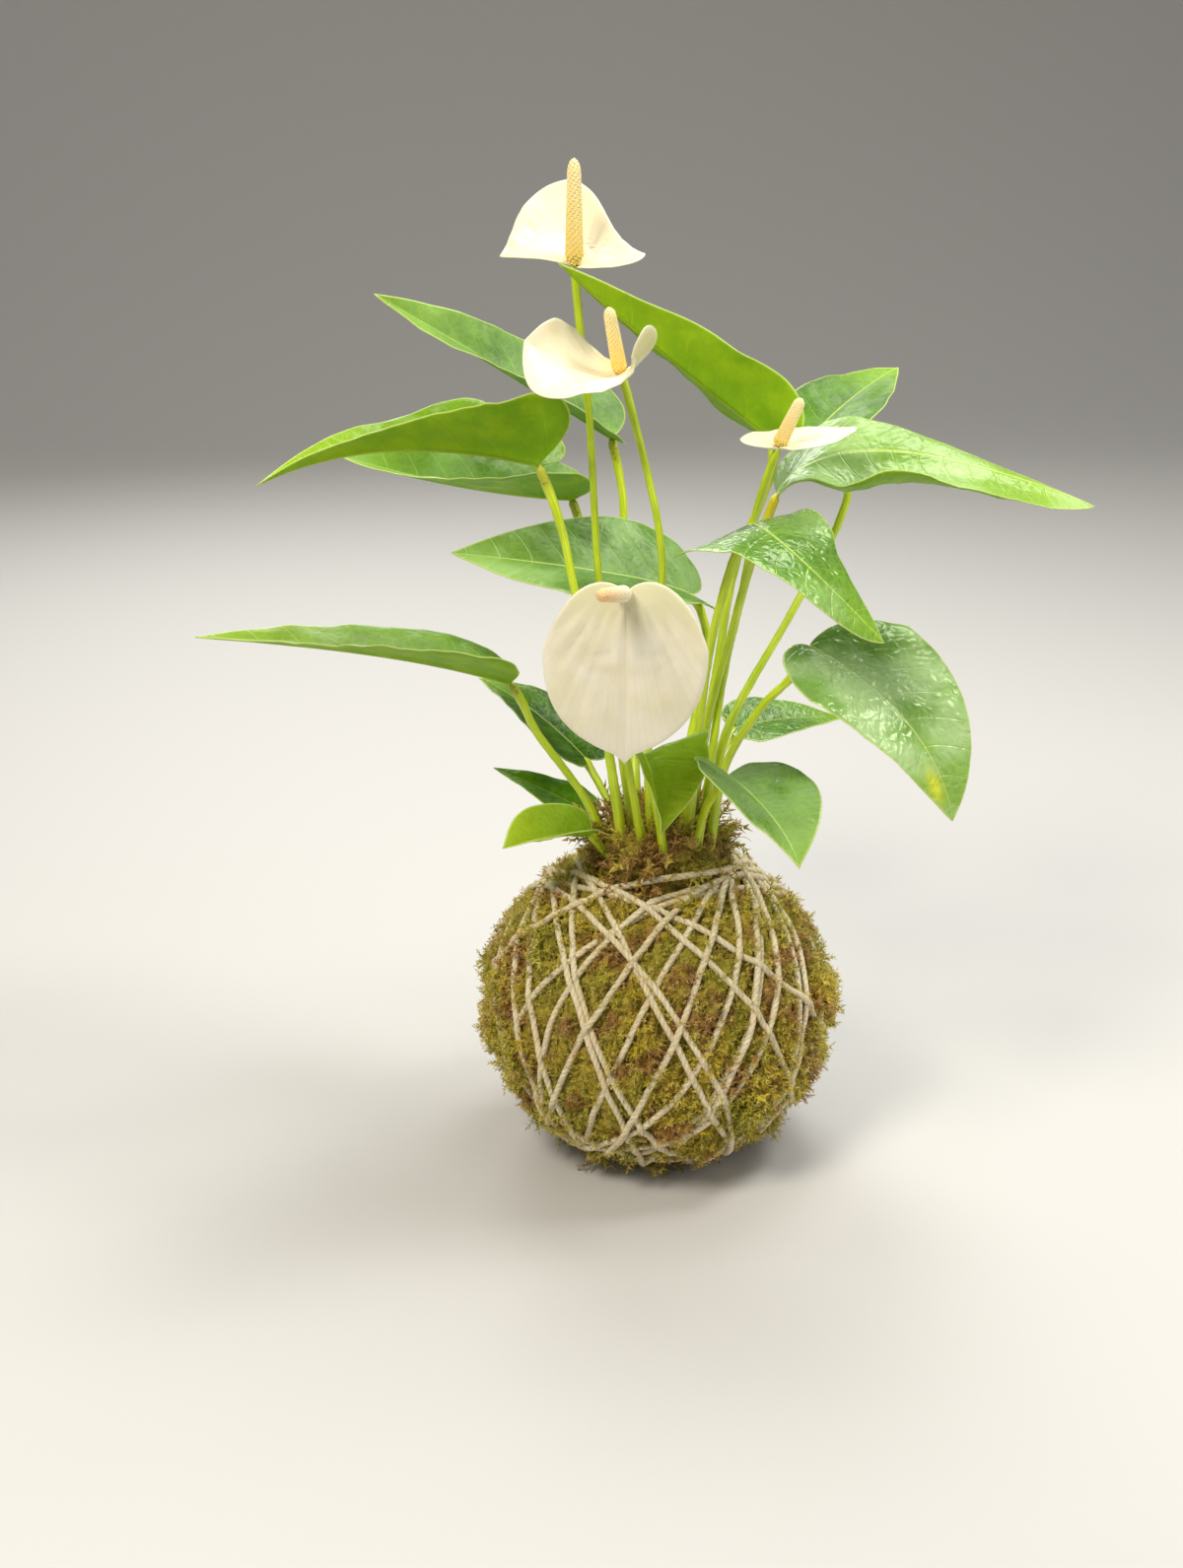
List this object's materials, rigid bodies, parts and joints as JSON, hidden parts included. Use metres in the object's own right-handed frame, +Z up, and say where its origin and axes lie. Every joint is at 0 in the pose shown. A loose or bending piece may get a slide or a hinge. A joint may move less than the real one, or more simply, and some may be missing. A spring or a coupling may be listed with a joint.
{
  "type": "kokedama moss ball plant",
  "caption": "Kokedama: a moss ball tied with cotton twine that rests on a small flat spot and holds an anthurium with glossy heart-shaped leaves and cream flowers.",
  "frame": {"origin": "centre of the flat spot under the moss ball, on the surface that the ball rests on", "axes": "+Z up through the ball and the foliage, +Y away from the viewer of the picture, +X to the viewer's right"},
  "size_m": [0.2996, 0.1829, 0.35],
  "materials": {
    "soil": "damp crumbly potting soil with fine roots, matt",
    "moss": "living sheet moss, olive to golden green with brown patches, matt and tufted",
    "neck_fibre": "brown sphagnum and coir fibre with green moss, matt",
    "twine": "soft undyed cotton twine, matt",
    "leaf": "glossy waxy leaf, bright green above and paler below, quilted between its veins",
    "stalk": "satin yellow-green stalk",
    "spathe": "satin cream-white spathe with fine veins",
    "spadix": "knobbly yellow-cream spadix, soft matt"
  },
  "bodies": {
    "root": {"soil_core": "soil", "moss_cover": "moss", "neck_moss": "neck_fibre", "twine": "twine", "leaf_blade_01": "leaf", "leaf_blade_02": "leaf", "leaf_blade_03": "leaf", "leaf_blade_04": "leaf", "leaf_blade_05": "leaf", "leaf_blade_06": "leaf", "leaf_blade_07": "leaf", "leaf_blade_08": "leaf", "leaf_blade_09": "leaf", "leaf_blade_10": "leaf", "leaf_blade_11": "leaf", "leaf_blade_12": "leaf", "leaf_blade_13": "leaf", "leaf_blade_14": "leaf", "leaf_blade_15": "leaf", "leaf_blade_16": "leaf", "leaf_stalk_01": "stalk", "leaf_stalk_02": "stalk", "leaf_stalk_03": "stalk", "leaf_stalk_04": "stalk", "leaf_stalk_05": "stalk", "leaf_stalk_06": "stalk", "leaf_stalk_07": "stalk", "leaf_stalk_08": "stalk", "leaf_stalk_09": "stalk", "leaf_stalk_10": "stalk", "leaf_stalk_11": "stalk", "leaf_stalk_12": "stalk", "leaf_stalk_13": "stalk", "leaf_stalk_14": "stalk", "leaf_stalk_15": "stalk", "leaf_stalk_16": "stalk", "spathe_1": "spathe", "spathe_2": "spathe", "spathe_3": "spathe", "spathe_4": "spathe", "spadix_1": "spadix", "spadix_2": "spadix", "spadix_3": "spadix", "spadix_4": "spadix", "flower_stalk_1": "stalk", "flower_stalk_2": "stalk", "flower_stalk_3": "stalk", "flower_stalk_4": "stalk"}
  },
  "joints": []
}
